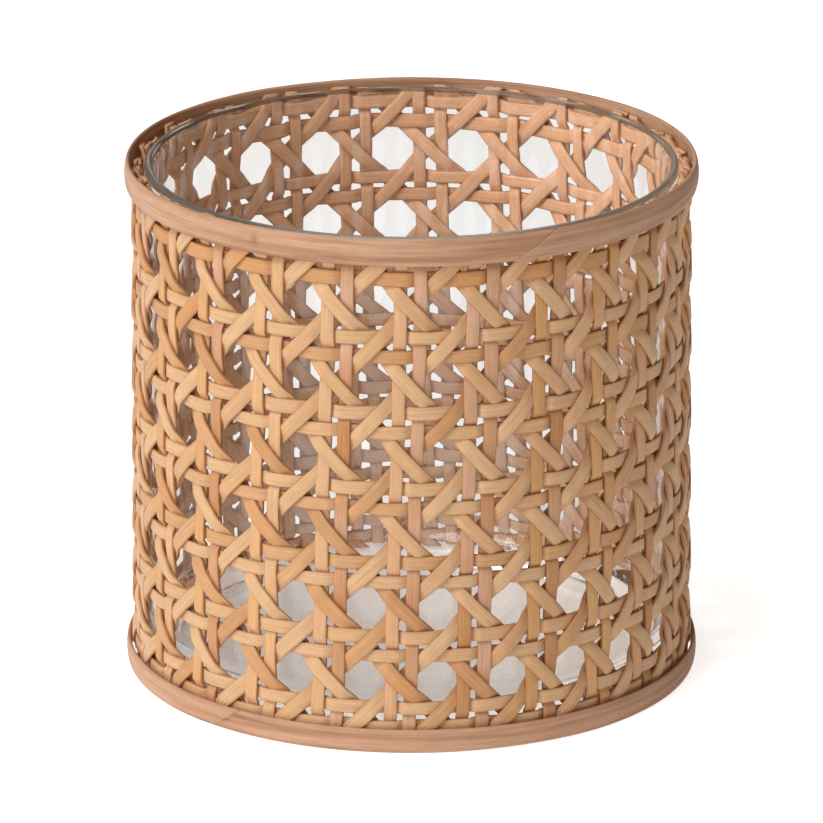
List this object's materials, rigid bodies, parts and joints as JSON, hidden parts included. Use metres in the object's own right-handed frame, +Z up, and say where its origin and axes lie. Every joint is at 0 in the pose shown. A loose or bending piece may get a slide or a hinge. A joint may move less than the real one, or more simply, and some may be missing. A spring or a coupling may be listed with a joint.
{
  "type": "candle holder",
  "caption": "Round candle holder: an openwork cane-webbing sleeve with half-round rattan hoops at its ends, around a lift-out clear glass cup.",
  "frame": {"origin": "on the axis of the sleeve and cup, at the level of the table they stand on", "axes": "+Z up along the axis; X and Y across the round, with the hoops' outer diameter the same both ways"},
  "size_m": [0.1516, 0.1516, 0.1377],
  "materials": {
    "clear_glass": "clear polished soda glass",
    "rattan_hoop": "split rattan, satin, stained tan",
    "level_cane": "cane strand, satin rind",
    "upright_cane": "cane strand, satin rind",
    "diagonal_cane": "cane strand, satin rind"
  },
  "bodies": {
    "sleeve": {"bottom_hoop": "rattan_hoop", "top_hoop": "rattan_hoop", "level_strand_01": "level_cane", "level_strand_02": "level_cane", "level_strand_03": "level_cane", "level_strand_04": "level_cane", "level_strand_05": "level_cane", "level_strand_06": "level_cane", "level_strand_07": "level_cane", "level_strand_08": "level_cane", "level_strand_09": "level_cane", "level_strand_10": "level_cane", "level_strand_11": "level_cane", "level_strand_12": "level_cane", "level_strand_13": "level_cane", "level_strand_14": "level_cane", "upright_strands_left": "upright_cane", "upright_strands_right": "upright_cane", "rising_diagonal_strands": "diagonal_cane", "falling_diagonal_strands": "diagonal_cane"},
    "glass": {"glass_cup": "clear_glass"}
  },
  "joints": [
    {"name": "glass_lift", "type": "slide", "parent": "sleeve", "child": "glass", "axis": [0, 0, 1], "range_m": [0, 0.15]}
  ]
}
